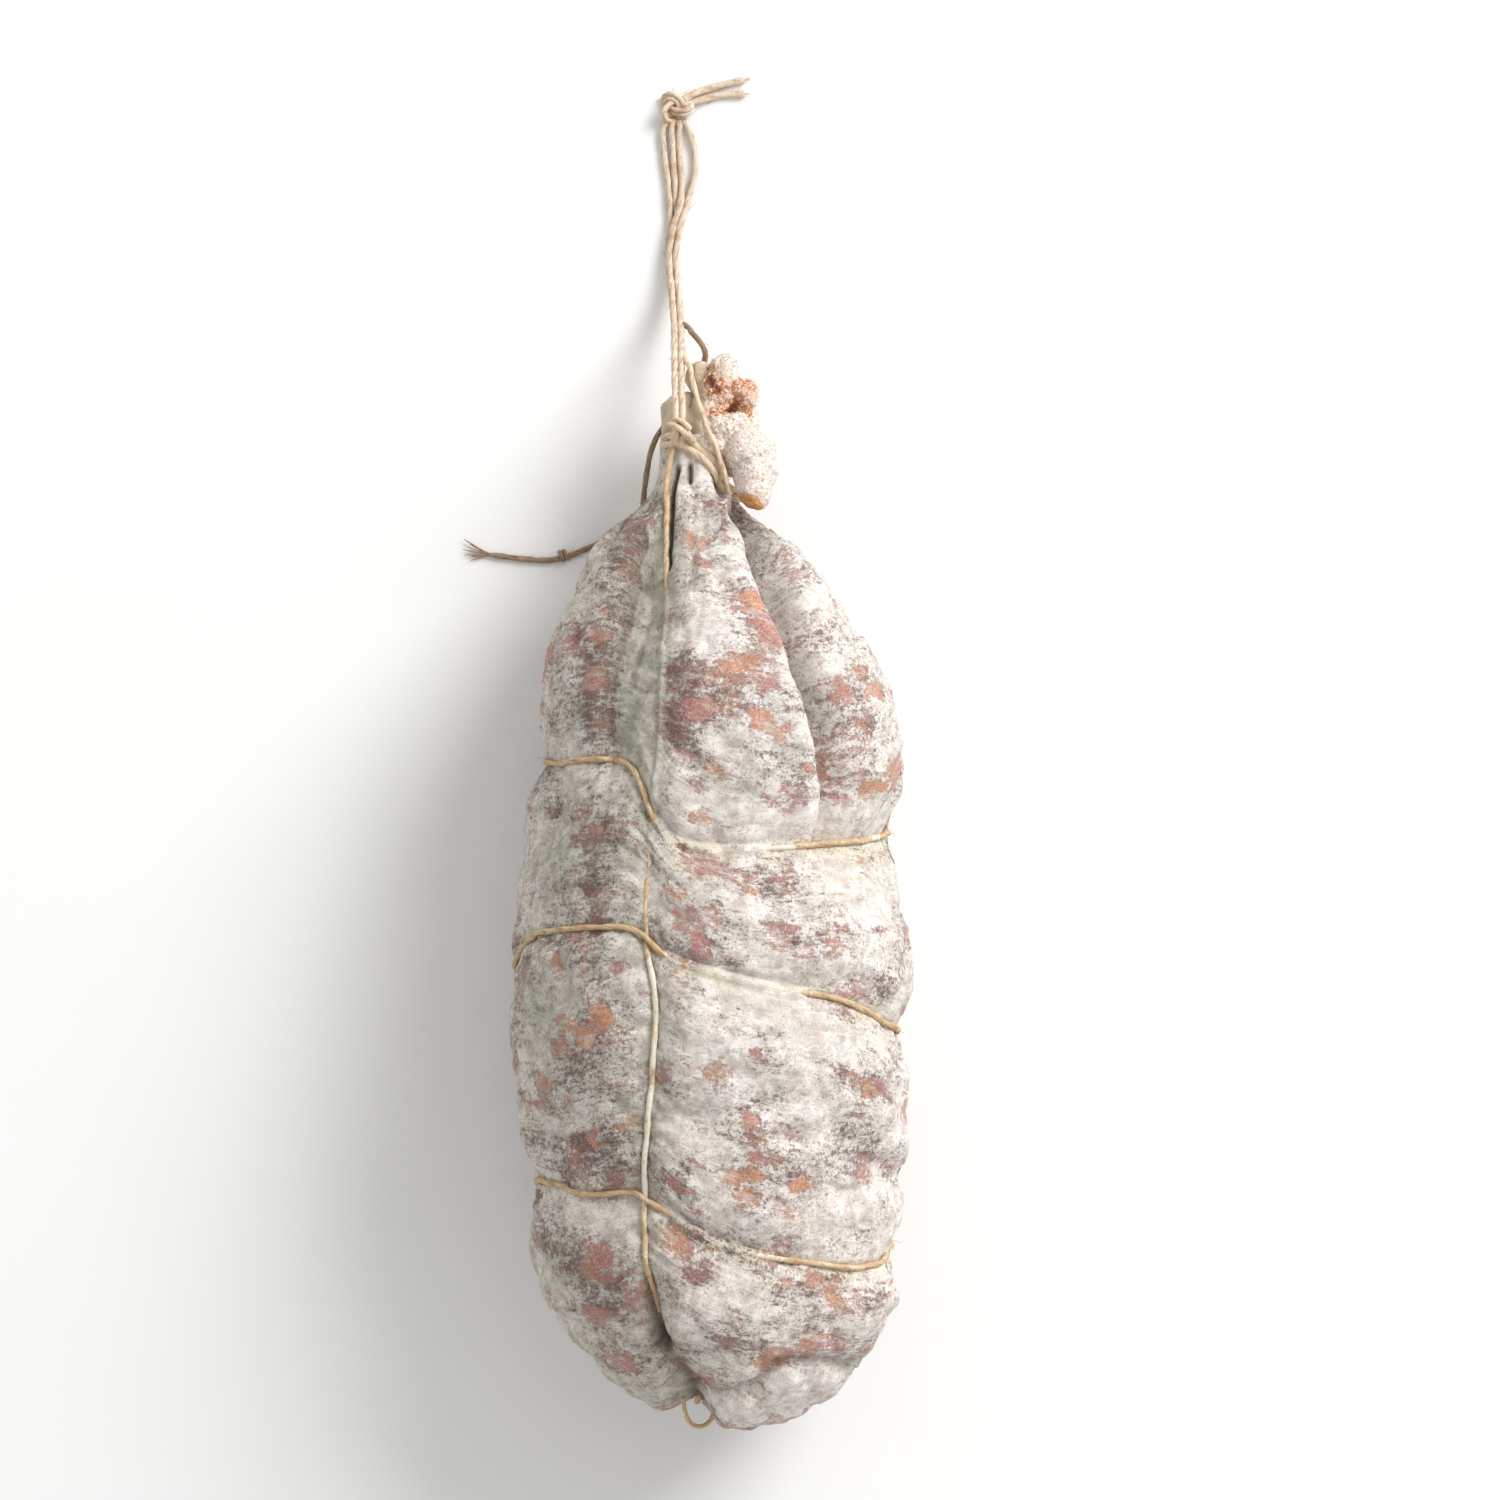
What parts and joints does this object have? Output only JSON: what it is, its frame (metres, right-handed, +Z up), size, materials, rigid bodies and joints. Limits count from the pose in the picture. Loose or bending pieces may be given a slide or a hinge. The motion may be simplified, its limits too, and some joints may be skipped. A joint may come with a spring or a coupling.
{
  "type": "cured sausage",
  "caption": "Whole dry-cured sausage in a mould-bloomed natural casing, bound lengthwise and around with twine and gathered into a dried knob, for slicing.",
  "frame": {"origin": "middle of the sausage's footprint on the surface that it rests on, without its free twine", "axes": "+Z up and out of the best side, +Y along the sausage towards its tied neck, +X to the right as seen from above with the neck pointing away"},
  "size_m": [0.1082, 0.3401, 0.0934],
  "materials": {
    "casing": "dry powdery mould over a wrinkled casing, matt, with brown-red meat showing through",
    "twine": "matt twisted natural fibre, partly dusted with mould"
  },
  "bodies": {
    "root": {"sausage": "casing", "twine_front_and_back": "twine", "twine_left_and_right": "twine", "twine_ring_1": "twine", "twine_ring_2": "twine", "twine_ring_3": "twine", "neck_tie": "twine", "neck_hitch": "twine", "neck_strand": "twine", "neck_loop": "twine", "low_loop": "twine", "hanging_strand_1": "twine", "hanging_strand_2": "twine", "hanging_strand_3": "twine", "hanging_strand_4": "twine", "hanging_knot": "twine", "hanging_tail_1": "twine", "hanging_tail_2": "twine", "side_end": "twine"}
  },
  "joints": []
}
